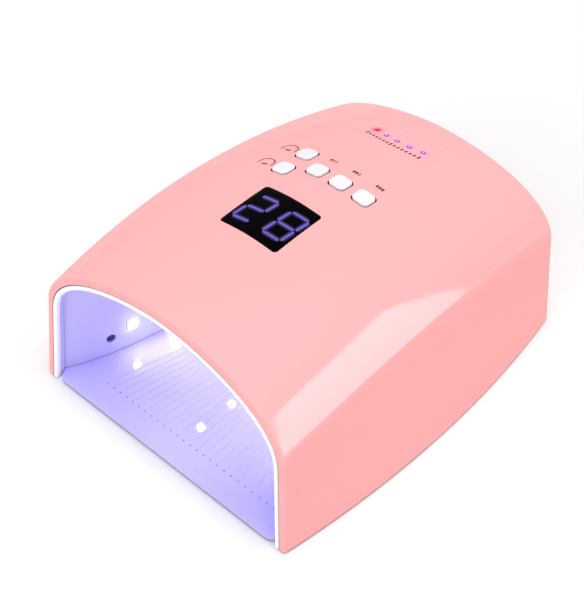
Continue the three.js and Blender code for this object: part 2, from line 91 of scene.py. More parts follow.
shell_low, shell_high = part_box("outer_shell")
LEAN = 0.09
BOTTOM = shell_low.z
FRONT = shell_low.y - LEAN * BOTTOM
BACK = shell_high.y
LENGTH = BACK - FRONT
HALF_LENGTH = LENGTH / 2

# The section at the front, the middle and the back.
BASE_HALF_WIDTH = (91.9 * MM, 101.8 * MM, 92.3 * MM)
SHOULDER_HALF_WIDTH = (86.1 * MM, 89.3 * MM, 84.6 * MM)
SHOULDER_HEIGHT = (60.6 * MM, 76.2 * MM, 63.3 * MM)
ROOF_HEIGHT = (98.8 * MM, 112 * MM, 97.2 * MM)
CROWN_PULL = (27.1 * MM, 20.6 * MM, 21.7 * MM)
# At the front and the back, the angle in degrees.
SHOULDER_ANGLE = (71.9, 68.7)
SHOULDER_PULL = (29 * MM, 29.3 * MM)
SHOULDER_RADIUS = 2.6 * MM
WALL = 2.6 * MM
FLANGE = 3 * MM

OPENING_HALF_WIDTH = 87.3 * MM
OPENING_SPRING = (82.6 * MM, 53 * MM)
OPENING_HEIGHT = 93.9 * MM
OPENING_SIDE_PULL = 30.2 * MM
OPENING_SIDE_LEAN = -2.5 * MM
OPENING_CROWN_PULL = 25.7 * MM
BEZEL_FACE = 2.8 * MM
BEZEL_DEPTH = 5 * MM
GAP = 0.3 * MM

LINER_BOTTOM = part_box("reflector_liner")[0].z
LINER_WALL = 1.8 * MM
LINER_START = BEZEL_DEPTH + GAP
LINER_END = 174 * MM
MOUTH_HALF_WIDTH = 89.1 * MM
DEEP_HALF_WIDTH = 61.6 * MM
WIDTH_TAPER = 45 * MM
MOUTH_HEIGHT = 92.5 * MM
DEEP_HEIGHT = 76 * MM
HEIGHT_TAPER = 79 * MM

WALL_STEPS = 10
FILLET_STEPS = 8
ROOF_STEPS = 46
EDGE_STEPS = 6
ROOF_SPREAD = 0.9  # under 1, the roof's points lie closer together towards the crown
HEIGHT_PASSES = 3
HEIGHT_HALVINGS = 26


def along(values, u):
    """A smooth value through its front, middle and back values, for u from -1 to 1."""
    front, middle, back = values
    return middle + (back - front) / 2 * u + ((front + back) / 2 - middle) * u * u


def lean_at(depth):
    return LEAN * max(0.0, 1 - depth / HALF_LENGTH)


def cubic(points, t):
    a, b, c, d = points
    s = 1 - t
    return s * s * s * a + 3 * s * s * t * b + 3 * s * t * t * c + t * t * t * d


def steps(count):
    return [i / count for i in range(count + 1)]


def quarter(radius, count=EDGE_STEPS):
    """(inset, depth) along a rounded edge, from the end face out to the side."""
    turns = [math.pi / 2 * t for t in steps(count)]
    return [(radius * (1 - math.sin(a)), radius * (1 - math.cos(a))) for a in turns]


def roof_curve(depth):
    """The control points of the roof's half-section, from the shoulder to the crown."""
    u = depth / HALF_LENGTH - 1
    k = (u + 1) / 2
    angle = math.radians(SHOULDER_ANGLE[0] + (SHOULDER_ANGLE[1] - SHOULDER_ANGLE[0]) * k)
    pull = SHOULDER_PULL[0] + (SHOULDER_PULL[1] - SHOULDER_PULL[0]) * k
    shoulder = Vector((along(SHOULDER_HALF_WIDTH, u), along(SHOULDER_HEIGHT, u)))
    crown = along(ROOF_HEIGHT, u)
    return (
        shoulder,
        shoulder + pull * Vector((-math.cos(angle), math.sin(angle))),
        Vector((along(CROWN_PULL, u), crown)),
        Vector((0, crown)),
    )


def casing_half(depth):
    """The half-section from the ground up to the crown, with the shoulder rounded."""
    curve = roof_curve(depth)
    shoulder = curve[0]
    foot = Vector((along(BASE_HALF_WIDTH, depth / HALF_LENGTH - 1), 0))
    down = (foot - shoulder).normalized()
    wall_end = shoulder + SHOULDER_RADIUS * down
    start = SHOULDER_RADIUS / (3 * (curve[1] - curve[0]).length)
    roof_start = cubic(curve, start)
    points = [foot.lerp(wall_end, t) for t in steps(WALL_STEPS)]
    for t in steps(FILLET_STEPS)[1:]:
        first = wall_end.lerp(shoulder, t)
        points.append(first.lerp(shoulder.lerp(roof_start, t), t))
    for t in steps(ROOF_STEPS)[1:]:
        points.append(cubic(curve, start + (1 - start) * t ** ROOF_SPREAD))
    return points


def opening_half(count=ROOF_STEPS + FILLET_STEPS):
    """The trim's outer half-outline, from the ground up to the crown."""
    spring = Vector(OPENING_SPRING)
    curve = (
        spring,
        spring + Vector((OPENING_SIDE_LEAN, OPENING_SIDE_PULL)),
        Vector((OPENING_CROWN_PULL, OPENING_HEIGHT)),
        Vector((0, OPENING_HEIGHT)),
    )
    foot = Vector((OPENING_HALF_WIDTH, 0))
    points = [foot.lerp(spring, t) for t in steps(WALL_STEPS)]
    return points + [cubic(curve, t) for t in steps(count)[1:]]


def offset_half(points, distance):
    """The same half-outline moved outwards."""
    beyond = Vector((-points[-2].x, points[-2].y))
    moved = []
    for i, point in enumerate(points):
        after = points[i + 1] if i + 1 < len(points) else beyond
        before = points[i - 1] if i else 2 * point - after
        into = (point - before).normalized()
        away = (after - point).normalized()
        normal = Vector((into.y + away.y, -into.x - away.x)).normalized()
        mitre = normal.x * into.y - normal.y * into.x
        moved.append(point + normal * (distance / mitre))
    moved[-1].x = 0
    return moved


def taper(depth, mouth, deep, over):
    return deep + (mouth - deep) * math.exp(-depth / over)


def liner_half(depth):
    """The chamber's half-section: the inside of the trim, drawn in as the chamber narrows."""
    inside = offset_half(opening_half(), -BEZEL_FACE)
    across = taper(depth, MOUTH_HALF_WIDTH, DEEP_HALF_WIDTH, WIDTH_TAPER) / inside[0].x
    high = taper(depth, MOUTH_HEIGHT, DEEP_HEIGHT, HEIGHT_TAPER) / inside[-1].y
    return [Vector((p.x * across, p.y * high)) for p in inside]


def arch(half, depth, bottom=BOTTOM, edge=0.0):
    """Points from the right foot over the crown to the left foot.

    Both feet are level with the bottom and end in a rounded edge of the radius given."""
    foot, above = half[0], half[1]
    slope = (above.x - foot.x) / (above.y - foot.y)
    feet = []
    for inset, rise in quarter(edge):
        height = bottom + rise
        feet.append(Vector((foot.x + slope * (height - foot.y) - inset, height)))
    half = feet + half[1:]
    full = half + [Vector((-p.x, p.y)) for p in reversed(half[:-1])]
    return [Vector((p.x, FRONT + depth + lean_at(depth) * p.y, p.y)) for p in full]


def squeezed(row, share):
    """The row drawn in towards the plane of symmetry."""
    return [Vector((p.x * share, p.y, p.z)) for p in row]


def roof_height(x, y):
    """Height of the casing's outer face over a point of the plan."""
    z = ROOF_HEIGHT[1]
    for _ in range(HEIGHT_PASSES):
        depth = (y - FRONT - LEAN * z) / (1 - LEAN * z / HALF_LENGTH)
        if depth > HALF_LENGTH:
            depth = y - FRONT
        curve = roof_curve(depth)
        low, high = 0.0, 1.0
        for _ in range(HEIGHT_HALVINGS):
            middle = (low + high) / 2
            if cubic(curve, middle).x > abs(x):
                low = middle
            else:
                high = middle
        z = cubic(curve, low).y
    return z


def below_roof(point):
    return roof_height(point.x, point.y) - point.z


# ---- Meshes ----

MERGE_DISTANCE = 0.002 * MM
SLIVER_LENGTH = 0.001 * MM
FACE_WEIGHT = 90
DOME_SHARES = (0.85, 0.65, 0.4, 0.15)


class Draft:
    """The points and faces of a mesh in the making."""

    def __init__(self):
        self.points = []
        self.faces = []

    def rows(self, rows, closed=False):
        """Quads between rows of equal length; closed also joins each row's ends."""
        count = len(rows[0])
        start = len(self.points)
        for row in rows:
            self.points.extend(row)
        for r in range(len(rows) - 1):
            for i in range(count if closed else count - 1):
                a = start + r * count + i
                b = start + r * count + (i + 1) % count
                self.faces.append((a, b, b + count, a + count))
        return start

    def lump(self, rows):
        """A closed body through closed rows, capped at both ends."""
        count = len(rows[0])
        start = self.rows(rows, closed=True)
        for first in (start, start + (len(rows) - 1) * count):
            self.faces.append(tuple(range(first, first + count)))

    def mesh(self, name, close_rim=False):
        """The mesh, with its normals out; close_rim fills an open rim that lies level."""
        work = bmesh.new()
        verts = [work.verts.new(p) for p in self.points]
        for face in self.faces:
            work.faces.new([verts[i] for i in face])
        bmesh.ops.remove_doubles(work, verts=work.verts, dist=MERGE_DISTANCE)
        bmesh.ops.dissolve_degenerate(work, edges=work.edges, dist=SLIVER_LENGTH)
        if close_rim:
            rim = [e for e in work.edges if e.is_boundary]
            bmesh.ops.triangle_fill(work, edges=rim, use_beauty=True, normal=(0, 0, -1))
        bmesh.ops.recalc_face_normals(work, faces=work.faces)
        mesh = bpy.data.meshes.new(name)
        work.to_mesh(mesh)
        work.free()
        return mesh


def sheet_mesh(name, rows, close_rim=False):
    draft = Draft()
    draft.rows(rows)
    return draft.mesh(name, close_rim)


def lump_mesh(name, *bodies):
    """Closed bodies in one mesh, each given by its rows."""
    draft = Draft()
    for rows in bodies:
        draft.lump(rows)
    return draft.mesh(name)


def as_object(name, mesh):
    made = bpy.data.objects.new(name, mesh)
    scene.collection.objects.link(made)
    return made


def finish_piece(made, material, slot, replaces=(), body="housing", sharp=40):
    """Shades a piece, gives it its material and body, and hides the CAD parts that it replaces; the slot
    is not used.
    """
    made.data.shade_smooth()
    made.data.set_sharp_from_angle(angle=math.radians(sharp))
    made.data.materials.clear()
    made.data.materials.append(material)
    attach(made, body)
    if replaces:
        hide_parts(*replaces)
    return made


def add_piece(name, bodies, *finish, **options):
    """A finished piece made of closed bodies, each given by its rows."""
    return finish_piece(as_object(name, lump_mesh(name, *bodies)), *finish, **options)


def paint(made, material, chosen):
    """Gives a piece one more material, on the faces for which chosen is true."""
    made.data.materials.append(material)
    for face in made.data.polygons:
        if chosen(face):
            face.material_index = len(made.data.materials) - 1


def even_normals(made):
    modifier = made.modifiers.new("even_normals", "WEIGHTED_NORMAL")
    modifier.keep_sharp = True
    modifier.weight = FACE_WEIGHT


def cut(made, *bodies):
    """Cuts closed bodies, each given by its rows, out of a piece."""
    cutter = as_object("cutter", lump_mesh("cutter", *bodies))
    modifier = made.modifiers.new("cut", "BOOLEAN")
    modifier.operation = "DIFFERENCE"
    modifier.solver = "MANIFOLD"
    modifier.object = cutter
    bpy.context.view_layer.update()
    evaluated = made.evaluated_get(bpy.context.evaluated_depsgraph_get())
    mesh = bpy.data.meshes.new_from_object(evaluated)
    made.modifiers.clear()
    made.data = mesh
    bpy.data.objects.remove(cutter)


def in_mm(*pairs):
    """Pairs given in millimetres."""
    return [(a * MM, b * MM) for a, b in pairs]


def from_radius(radius, *pairs):
    """(radius, height) pairs given in millimetres, the first of each counted from the radius."""
    return [(radius + growth, height) for growth, height in in_mm(*pairs)]


def rounded_rect(width, length, corner, x=0.0, y=0.0, count=8):
    points = []
    for sign_x, sign_y, turn in ((1, 1, 0), (-1, 1, 1), (-1, -1, 2), (1, -1, 3)):
        centre = Vector((x + sign_x * (width / 2 - corner), y + sign_y * (length / 2 - corner)))
        for t in steps(count):
            angle = math.pi / 2 * (turn + t)
            points.append(centre + corner * Vector((math.cos(angle), math.sin(angle))))
    return points


def circle(radius, x=0.0, y=0.0, count=32):
    angles = [2 * math.pi * i / count for i in range(count)]
    return [Vector((x + radius * math.cos(a), y + radius * math.sin(a))) for a in angles]


def subdivided(outline, pitch):
    """The same closed outline, with no step longer than the pitch."""
    points = []
    for i, start in enumerate(outline):
        end = outline[(i + 1) % len(outline)]
        count = math.ceil((end - start).length / pitch)
        points += [start.lerp(end, k / count) for k in range(count)]
    return points


def grown(outline, distance):
    """A closed anticlockwise outline moved outwards."""
    moved = []
    count = len(outline)
    for i, point in enumerate(outline):
        into = (point - outline[i - 1]).normalized()
        away = (outline[(i + 1) % count] - point).normalized()
        normal = Vector((into.y + away.y, -into.x - away.x)).normalized()
        moved.append(point + normal * distance)
    return moved


def on_roof(outline, lift):
    return [Vector((p.x, p.y, roof_height(p.x, p.y) + lift)) for p in outline]


def scaled(outline, share):
    centre = sum(outline, Vector((0, 0))) / len(outline)
    return [centre.lerp(p, share) for p in outline]


def roof_rows(outline, levels, crown=0.0):
    """Rows of a body that follows the roof: (growth, lift) from its foot up, then a domed top."""
    rows = [on_roof(grown(outline, growth), lift) for growth, lift in levels]
    growth, lift = levels[-1]
    for share in DOME_SHARES:
        dome = scaled(grown(outline, growth), share)
        rows.append(on_roof(dome, lift + crown * (1 - share * share)))
    return rows


def stack(place, outline, levels):
    """Closed rows of an outline in a local frame: levels are (growth, height)."""
    rows = []
    for growth, height in levels:
        rows.append([place @ Vector((p.x, p.y, height)) for p in grown(outline, growth)])
    return rows


def turned(place, profile, count=48):
    """A round body about a local frame's z axis: profile is (radius, height) from end to end."""
    rows = []
    for radius, height in profile:
        rows.append([place @ Vector((p.x, p.y, height)) for p in circle(radius, count=count)])
    return rows


# ---- Materials ----

BUMP_DISTANCE = 0.02 * MM
LENS_BASE = (0.015, 0.012, 0.025, 1)
LENS_ROUGHNESS = 0.15
HALO_CORE = 0.2


def linear(value):
    """A display value from 0 to 1 without its sRGB curve."""
    return value / 12.92 if value <= 0.04045 else ((value + 0.055) / 1.055) ** 2.4


def rgb(red, green, blue):
    """A display colour out of 255 as the linear colour that shaders take."""
    return tuple(linear(c / 255) for c in (red, green, blue)) + (1.0,)


def new_material(name):
    material = bpy.data.materials.new(name)
    material.use_nodes = True
    return material, material.node_tree.nodes, material.node_tree.links


def set_inputs(made, **inputs):
    for key, value in inputs.items():
        made.inputs[key.replace("_", " ")].default_value = value
    return made


def node(nodes, kind, **inputs):
    return set_inputs(nodes.new(kind), **inputs)


def colour_blend(nodes, links, factor, low, high):
    """A colour between two, by a factor socket; low and high are colours or sockets."""
    blend = nodes.new("ShaderNodeMix")
    blend.data_type = "RGBA"
    links.new(factor, blend.inputs["Factor"])
    for socket, colour in (("A", low), ("B", high)):
        if isinstance(colour, tuple):
            blend.inputs[socket].default_value = colour
        else:
            links.new(colour, blend.inputs[socket])
    return blend.outputs["Result"]


def noise(nodes, links, scale, detail):
    """A noise texture's value, in the object's own space."""
    texture = node(nodes, "ShaderNodeTexNoise", Scale=scale, Detail=detail)
    links.new(nodes.new("ShaderNodeTexCoord").outputs["Object"], texture.inputs["Vector"])
    return texture.outputs["Fac"]


def mottled(name, low, high, scale, roughness, spread, bump, bump_scale, **shader_inputs):
    """A moulded or coated surface: two near display colours in patches, uneven gloss, a fine bump."""
    material, nodes, links = new_material(name)
    shader = nodes["Principled BSDF"]
    patches = noise(nodes, links, scale, 3.0)
    colour = colour_blend(nodes, links, patches, rgb(*low), rgb(*high))
    links.new(colour, shader.inputs["Base Color"])
    gloss = node(nodes, "ShaderNodeMapRange", To_Min=roughness - spread, To_Max=roughness + spread)
    links.new(patches, gloss.inputs["Value"])
    links.new(gloss.outputs["Result"], shader.inputs["Roughness"])
    relief = node(nodes, "ShaderNodeBump", Strength=bump, Distance=BUMP_DISTANCE)
    links.new(noise(nodes, links, bump_scale, 4.0), relief.inputs["Height"])
    links.new(relief.outputs["Normal"], shader.inputs["Normal"])
    set_inputs(shader, **shader_inputs)
    return material


def glowing(name, edge, centre, strength, cloud_scale=900.0):
    """A lit lens: a glossy face with its own light, uneven like a moulded lens."""
    material, nodes, links = new_material(name)
    shader = nodes["Principled BSDF"]
    set_inputs(shader, Base_Color=LENS_BASE, Roughness=LENS_ROUGHNESS, Emission_Strength=strength)
    colour = colour_blend(nodes, links, noise(nodes, links, cloud_scale, 2.0), edge, centre)
    links.new(colour, shader.inputs["Emission Color"])
    return material


def paint_light_round(material, centre, radius, colour, most):
    """Paints light into a material's colour round a point: most at its core, and nothing at the radius.
    """
    nodes, links = material.node_tree.nodes, material.node_tree.links
    colour_input = nodes["Principled BSDF"].inputs["Base Color"]
    below = colour_input.links[0].from_socket
    distance = nodes.new("ShaderNodeVectorMath")
    distance.operation = "DISTANCE"
    distance.inputs[1].default_value = centre
    links.new(nodes.new("ShaderNodeTexCoord").outputs["Object"], distance.inputs[0])
    fall = node(
        nodes, "ShaderNodeMapRange", From_Min=HALO_CORE * radius, From_Max=radius, To_Min=most, To_Max=0.0
    )
    fall.interpolation_type = "SMOOTHSTEP"
    links.new(distance.outputs["Value"], fall.inputs["Value"])
    links.new(colour_blend(nodes, links, fall.outputs["Result"], below, colour), colour_input)


# After the two colours: the patches' scale, the roughness and its spread, the bump and its scale.
COAT = {"Coat_Weight": 0.21, "Coat_IOR": 3.0, "Coat_Roughness": 0.1, "Specular_IOR_Level": 0.0}
pink = mottled("pink_plastic", (248, 167, 168), (251, 170, 171), 9, 0.3, 0.03, 0.03, 1500, **COAT)
white_gloss = mottled("white_gloss", (250, 246, 252), (255, 250, 255), 30, 0.2, 0.03, 0.03, 1800)
key_white = mottled("key_white", (221, 221, 230), (227, 227, 235), 60, 0.25, 0.03, 0.03, 1800)
# Painted lamp light: the white liner is given a lavender colour for the violet lamps' light on it.
liner_painted_lamplight = mottled("liner_painted_lamplight", (198, 191, 238), (205, 198, 243), 12, 0.42, 0.05, 0.06, 2400)
# Painted lamp light: the plate is given a violet colour for the lamps' light on it.
plate_coat_painted_lamplight = mottled(
    "plate_coat_painted_lamplight", (179, 173, 236), (186, 180, 241), 14, 0.4, 0.03, 0.02, 2200,
    Coat_Weight=1.0, Coat_Roughness=0.02, Coat_IOR=1.7, Specular_IOR_Level=0.1,
)
# Painted lamp light and painted shade: the grooves are given a darker violet than the plate.
groove_painted_lamplight_and_shade = mottled("groove_painted_lamplight_and_shade", (166, 158, 216), (176, 168, 224), 200, 0.6, 0.05, 0.05, 4000)
frame_plastic = mottled("frame_plastic", (226, 224, 230), (234, 232, 238), 25, 0.45, 0.05, 0.08, 2600)
smoked_black = mottled("smoked_black", (2, 1, 3), (4, 3, 6), 40, 0.06, 0.015, 0.01, 900, IOR=1.12)
black_plastic = mottled("black_plastic", (24, 24, 27), (34, 34, 38), 60, 0.5, 0.06, 0.2, 3000)
rubber = mottled("rubber", (34, 34, 36), (46, 46, 49), 70, 0.8, 0.06, 0.3, 3500)
board_green = mottled("board_green", (18, 74, 42), (26, 96, 54), 90, 0.38, 0.05, 0.1, 4000)
board_white = mottled("board_white", (226, 229, 231), (238, 240, 242), 70, 0.42, 0.05, 0.1, 4000)
bright_metal = mottled(
    "bright_metal", (190, 192, 197), (210, 212, 217), 80, 0.28, 0.06, 0.1, 5000, Metallic=1.0
)
cell_blue = mottled("cell_blue", (36, 98, 170), (52, 118, 190), 60, 0.3, 0.05, 0.1, 1500)
sensor_navy = mottled("sensor_navy", (28, 26, 84), (40, 36, 108), 300, 0.12, 0.03, 0.02, 900)
# Dark discs in the dimples; their violet is painted lamp light.
dot_painted_lamplight = mottled("dot_painted_lamplight", (92, 78, 150), (110, 96, 170), 500, 0.5, 0.05, 0.1, 5000)
ink = mottled("ink", (88, 38, 46), (108, 50, 58), 900, 0.5, 0.05, 0.1, 5000)
lens_violet = mottled("lens_violet", (118, 52, 140), (136, 66, 160), 700, 0.25, 0.05, 0.05, 3000)
lens_pale = mottled("lens_pale", (226, 158, 214), (234, 172, 222), 700, 0.25, 0.05, 0.05, 3000)
# After the two colours: the strength, and the scale of the clouds if it isn't the usual one.
bead_light = glowing("bead_light", (0.82, 0.8, 1.0, 1.0), (0.88, 0.86, 1.0, 1.0), 125.0)
lens_red = glowing("lens_red", rgb(176, 16, 44), rgb(206, 34, 62), 0.9)
digit_light = glowing("digit_light", rgb(112, 88, 210), rgb(134, 110, 226), 0.85, 300.0)
digit_glow = glowing("digit_glow", rgb(34, 8, 108), rgb(42, 14, 128), 0.9, 300.0)
digit_haze = glowing("digit_haze", rgb(14, 3, 46), rgb(20, 6, 60), 0.9, 300.0)

# Painted lamp light: the colour is paler at the middle of the plate's front half, and low on the left
# wall.
PLATE_GLOW = (5 * MM, -55 * MM, 3 * MM)
PLATE_GLOW_RADIUS = 78 * MM
PLATE_GLOW_SHARE = 0.85
WALL_GLOW = (-68 * MM, -52 * MM, 6 * MM)
WALL_GLOW_RADIUS = 45 * MM
WALL_GLOW_SHARE = 0.9
paint_light_round(plate_coat_painted_lamplight, PLATE_GLOW, PLATE_GLOW_RADIUS, rgb(222, 218, 240), PLATE_GLOW_SHARE)
paint_light_round(groove_painted_lamplight_and_shade, PLATE_GLOW, PLATE_GLOW_RADIUS, rgb(206, 200, 228), PLATE_GLOW_SHARE)
paint_light_round(liner_painted_lamplight, WALL_GLOW, WALL_GLOW_RADIUS, rgb(232, 232, 242), WALL_GLOW_SHARE)

# ---- Casing ----

KEY_NAMES = ("timer_left", "timer_middle", "timer_right", "mode_front", "mode_rear")
KEY_HOLE_SIZE = 11.4 * MM
KEY_HOLE_CORNER = 3 * MM
KEY_HOLE_LIP = (0.2 * MM, 0.15 * MM)  # height and flare
KEY_HOLE_MARGIN = 0.3 * MM
# The painted shade on the key holes' walls reaches between these depths.
KEY_HOLE_PAINTED_SHADE = (0.3 * MM, WALL - 0.1 * MM)  # from and to, below the roof
WINDOW_GROWTH = 0.35 * MM
WINDOW_CORNER = 2 * MM
WINDOW_PITCH = 2 * MM
WINDOW_HOLE_FIT = 0.16 * MM
WINDOW_HOLE_LIP = (0.12 * MM, 0.08 * MM)
INDICATOR_COUNT = 5
INDICATOR_RADIUS = 1.5 * MM
INDICATOR_HOLE_FIT = 0.1 * MM
JACK_HEIGHT = 36 * MM
JACK_RADIUS = 4 * MM
# How far the cutter for a hole in the roof reaches down and up from it.
CUT_LOW = -8 * MM
CUT_HIGH = 4 * MM
LIP_STEPS = 4

FRONT_EDGE = 0.9 * MM
BACK_EDGE = 1.8 * MM
FOOT_EDGE = 1.9 * MM
OPENING_EDGE = 0.5 * MM
OUTSIDE_STEPS = 96
INSIDE_STEPS = 40
SHELL_SHARP = 28

RECESS_FRONT = 67 * MM
RECESS_BACK = 90.5 * MM
RECESS_FRONT_HALF = 27.6 * MM
RECESS_BACK_HALF = 21.6 * MM
RECESS_CORNER = 3 * MM
RECESS_DEPTH = 0.5 * MM
RECESS_SLOPE = 0.5 * MM
RECESS_CUT_HIGH = 3 * MM
RECESS_CORNER_STEPS = 6
RECESS_SIDE_STEPS = 14
RECESS_FLOOR_SHARES = (0.05, 0.25, 0.5, 0.75, 0.92)

# The painted shadow line along the opening: how deep it reaches, and how far its faces may turn to the
# front.
SHADOW_LINE_DEPTH = 2 * MM
SHADOW_LINE_TURN = 0.8

# Painted glow round the gauge's lamps: its radius, colour and strength.
RED_PAINTED_GLOW = (5.2 * MM, rgb(250, 84, 110), 0.9)
VIOLET_PAINTED_GLOW = (5 * MM, rgb(242, 150, 214), 0.75)


def plan_centre(name):
    low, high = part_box(name)
    return (low.x + high.x) / 2, (low.y + high.y) / 2


KEY_CENTRES = [plan_centre("button_" + name) for name in KEY_NAMES]


def display_outline():
    low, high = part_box("display_window")
    width = high.x - low.x + 2 * WINDOW_GROWTH
    length = high.y - low.y + 2 * WINDOW_GROWTH
    outline = rounded_rect(width, length, WINDOW_CORNER, *plan_centre("display_window"))
    return subdivided(outline, WINDOW_PITCH)


def casing_row(depth, inset, edge=0.0):
    return arch(offset_half(casing_half(depth), -inset), depth, edge=edge)


def shell_mesh():
    """The shell from the middle of its back over its outside, through the opening to its inside."""
    back = casing_row(LENGTH, BACK_EDGE, FOOT_EDGE)
    rows = [squeezed(back, share) for share in (0, 0.35, 0.7)]
    rows += [casing_row(LENGTH - d, i, FOOT_EDGE) for i, d in quarter(BACK_EDGE)]
    span = LENGTH - BACK_EDGE - FRONT_EDGE
    for t in steps(OUTSIDE_STEPS)[1:-1]:
        rows.append(casing_row(LENGTH - BACK_EDGE - span * t, 0, FOOT_EDGE))
    rows += [casing_row(d, i, FOOT_EDGE) for i, d in reversed(quarter(FRONT_EDGE))]
    for inset, depth in quarter(OPENING_EDGE, 3):
        rows.append(arch(offset_half(opening_half(), GAP + inset), depth))
    rows.append(arch(offset_half(opening_half(), GAP), FLANGE))
    inner = LENGTH - WALL - FLANGE
    rows += [casing_row(FLANGE + inner * t, WALL) for t in steps(INSIDE_STEPS)]
    rows += [squeezed(rows[-1], share) for share in (0.5, 0)]
    return sheet_mesh("casing_skin", rows, close_rim=True)


def hole_rows(outline, lip, flare):
    """A hole through the roof, with a rounded lip that follows the roof."""
    levels = [(0, CUT_LOW), (0, -2 * lip), (0, -lip)]
    for t in steps(LIP_STEPS)[1:]:
        angle = math.pi / 2 * t
        levels.append((flare * (1 - math.cos(angle)), -lip + lip * math.sin(angle)))
    widest = flare * 1.6  # above the roof, where the cutter is a little wider
    levels += [(widest, 0.6 * lip), (widest, CUT_HIGH)]
    return [on_roof(grown(outline, growth), lift) for growth, lift in levels]


def recess_rows():
    """The gauge's shallow pocket: a trapezium with round corners and sloping sides."""
    corners = (
        (RECESS_FRONT_HALF, RECESS_FRONT), (RECESS_BACK_HALF, RECESS_BACK),
        (-RECESS_BACK_HALF, RECESS_BACK), (-RECESS_FRONT_HALF, RECESS_FRONT),
    )
    corners = [Vector(corner) for corner in corners]
    outline = []
    for i, corner in enumerate(corners):
        following = corners[(i + 1) % 4]
        before = corner + (corners[i - 1] - corner).normalized() * RECESS_CORNER
        after = corner + (following - corner).normalized() * RECESS_CORNER
        end = following + (corner - following).normalized() * RECESS_CORNER
        for t in steps(RECESS_CORNER_STEPS):
            outline.append(before.lerp(corner, t).lerp(corner.lerp(after, t), t))
        outline += [after.lerp(end, t) for t in steps(RECESS_SIDE_STEPS)[1:-1]]
    rows = [on_roof(scaled(outline, share), -RECESS_DEPTH) for share in RECESS_FLOOR_SHARES]
    levels = (
        (-RECESS_SLOPE, -RECESS_DEPTH), (RECESS_SLOPE, RECESS_DEPTH), (RECESS_SLOPE, RECESS_CUT_HIGH)
    )
    return rows + [on_roof(grown(outline, growth), lift) for growth, lift in levels]


def rear_frame(y):
    """A frame on the charging inlet's axis, with z pointing out of the back."""
    place = Matrix.Rotation(-math.pi / 2, 4, "X")
    place.translation = (0, y, JACK_HEIGHT)
    return place


def front_depth(point):
    """How far a point lies behind the leaning front plane."""
    return point.y - FRONT - LEAN * point.z


def on_opening_shadow_line(face):
    """Whether a face is on the opening's inner edge, painted dark as the shadow in the gap against the
    white trim.
    """
    to_middle = Vector((-face.center.x, 0, OPENING_HEIGHT / 2 - face.center.z))
    inwards = face.normal.dot(to_middle) > 0
    return inwards and abs(face.normal.y) < SHADOW_LINE_TURN and front_depth(face.center) < SHADOW_LINE_DEPTH


def in_key_hole(face):
    """Whether a face is on a key hole's wall, below the lip, where no light comes past the key."""
    x, y, _ = face.center
    reach = KEY_HOLE_SIZE / 2 + KEY_HOLE_MARGIN
    near_key = any(max(abs(x - mid_x), abs(y - mid_y)) < reach for mid_x, mid_y in KEY_CENTRES)
    return near_key and KEY_HOLE_PAINTED_SHADE[0] < below_roof(face.center) < KEY_HOLE_PAINTED_SHADE[1]


def build_shell():
    """The casing with its recess and holes, with painted shade inside the key holes and a painted shadow
    line along the opening.
    """
    shell = as_object("casing_skin", shell_mesh())
    cut(shell, recess_rows())
    holes = []
    for centre in KEY_CENTRES:
        outline = rounded_rect(KEY_HOLE_SIZE, KEY_HOLE_SIZE, KEY_HOLE_CORNER, *centre)
        holes.append(hole_rows(outline, *KEY_HOLE_LIP))
    holes.append(hole_rows(grown(display_outline(), WINDOW_HOLE_FIT), *WINDOW_HOLE_LIP))
    for i in range(INDICATOR_COUNT):
        outline = circle(INDICATOR_RADIUS + INDICATOR_HOLE_FIT, *plan_centre(f"indicator_{i + 1}"))
        holes.append([on_roof(outline, lift) for lift in (CUT_LOW, CUT_HIGH)])
    holes.append(turned(rear_frame(BACK), from_radius(JACK_RADIUS + GAP, (0, -8), (0, -0.3), (0.6, 0.3))))
    cut(shell, *holes)
    finish_piece(shell, pink, "pink_casing", ["outer_shell"], sharp=SHELL_SHARP)
    # Painted shade: the key holes' walls below the lip are given the black plastic.
    paint(shell, black_plastic, in_key_hole)
    # Painted shadow: the opening's inner edge is given the ink.
    paint(shell, ink, on_opening_shadow_line)
    even_normals(shell)


def paint_lamp_glows():
    """Painted glow of the gauge's lamps on the casing round them: red round the lit one, violet round the
    others.
    """
    for i in range(INDICATOR_COUNT):
        x, y = plan_centre(f"indicator_{i + 1}")
        radius, colour, share = VIOLET_PAINTED_GLOW if i else RED_PAINTED_GLOW
        paint_light_round(pink, (x, y, roof_height(x, y)), radius, colour, share)


paint_lamp_glows()
build_shell()

# ---- Trim and chamber ----

TRIM_LIP = 1.3 * MM
TRIM_OUTER_EDGE = 0.6 * MM
TRIM_PROUD = 0.3 * MM
TRIM_SIDE = 2.5 * MM
# (inset, depth) from where the lip's side ends.
TRIM_CHANNEL = in_mm((0, 0), (0.6, 0.2), (0.6, 0.8), (0.2, 1.3))

SIDES = ("left", "right")
BEADS = [f"led_{row}_{side}_{i}" for row in ("wall", "roof") for side in SIDES for i in (1, 2, 3)]
BEAD_SIZE = 6.4 * MM
BEAD_CORNER = 0.7 * MM
BEAD_LENS_SIZE = 4.4 * MM
BEAD_LENS_CORNER = 0.5 * MM
BEAD_WINDOW_SIZE = 7.4 * MM
BEAD_WINDOW_CORNER = 1.2 * MM
SENSOR_RADIUS = 2.6 * MM
LINER_LIP = 0.7 * MM
DEEP_CORNER = 11 * MM
LINER_OUTSIDE_STEPS = 24
LINER_INSIDE_STEPS = 60
LINER_SHARP = 30

# CAD corners nearer than this are one corner, and faces as level as this are on one end.
SAME_POINT = 0.01 * MM
SAME_END = 0.1 * MM


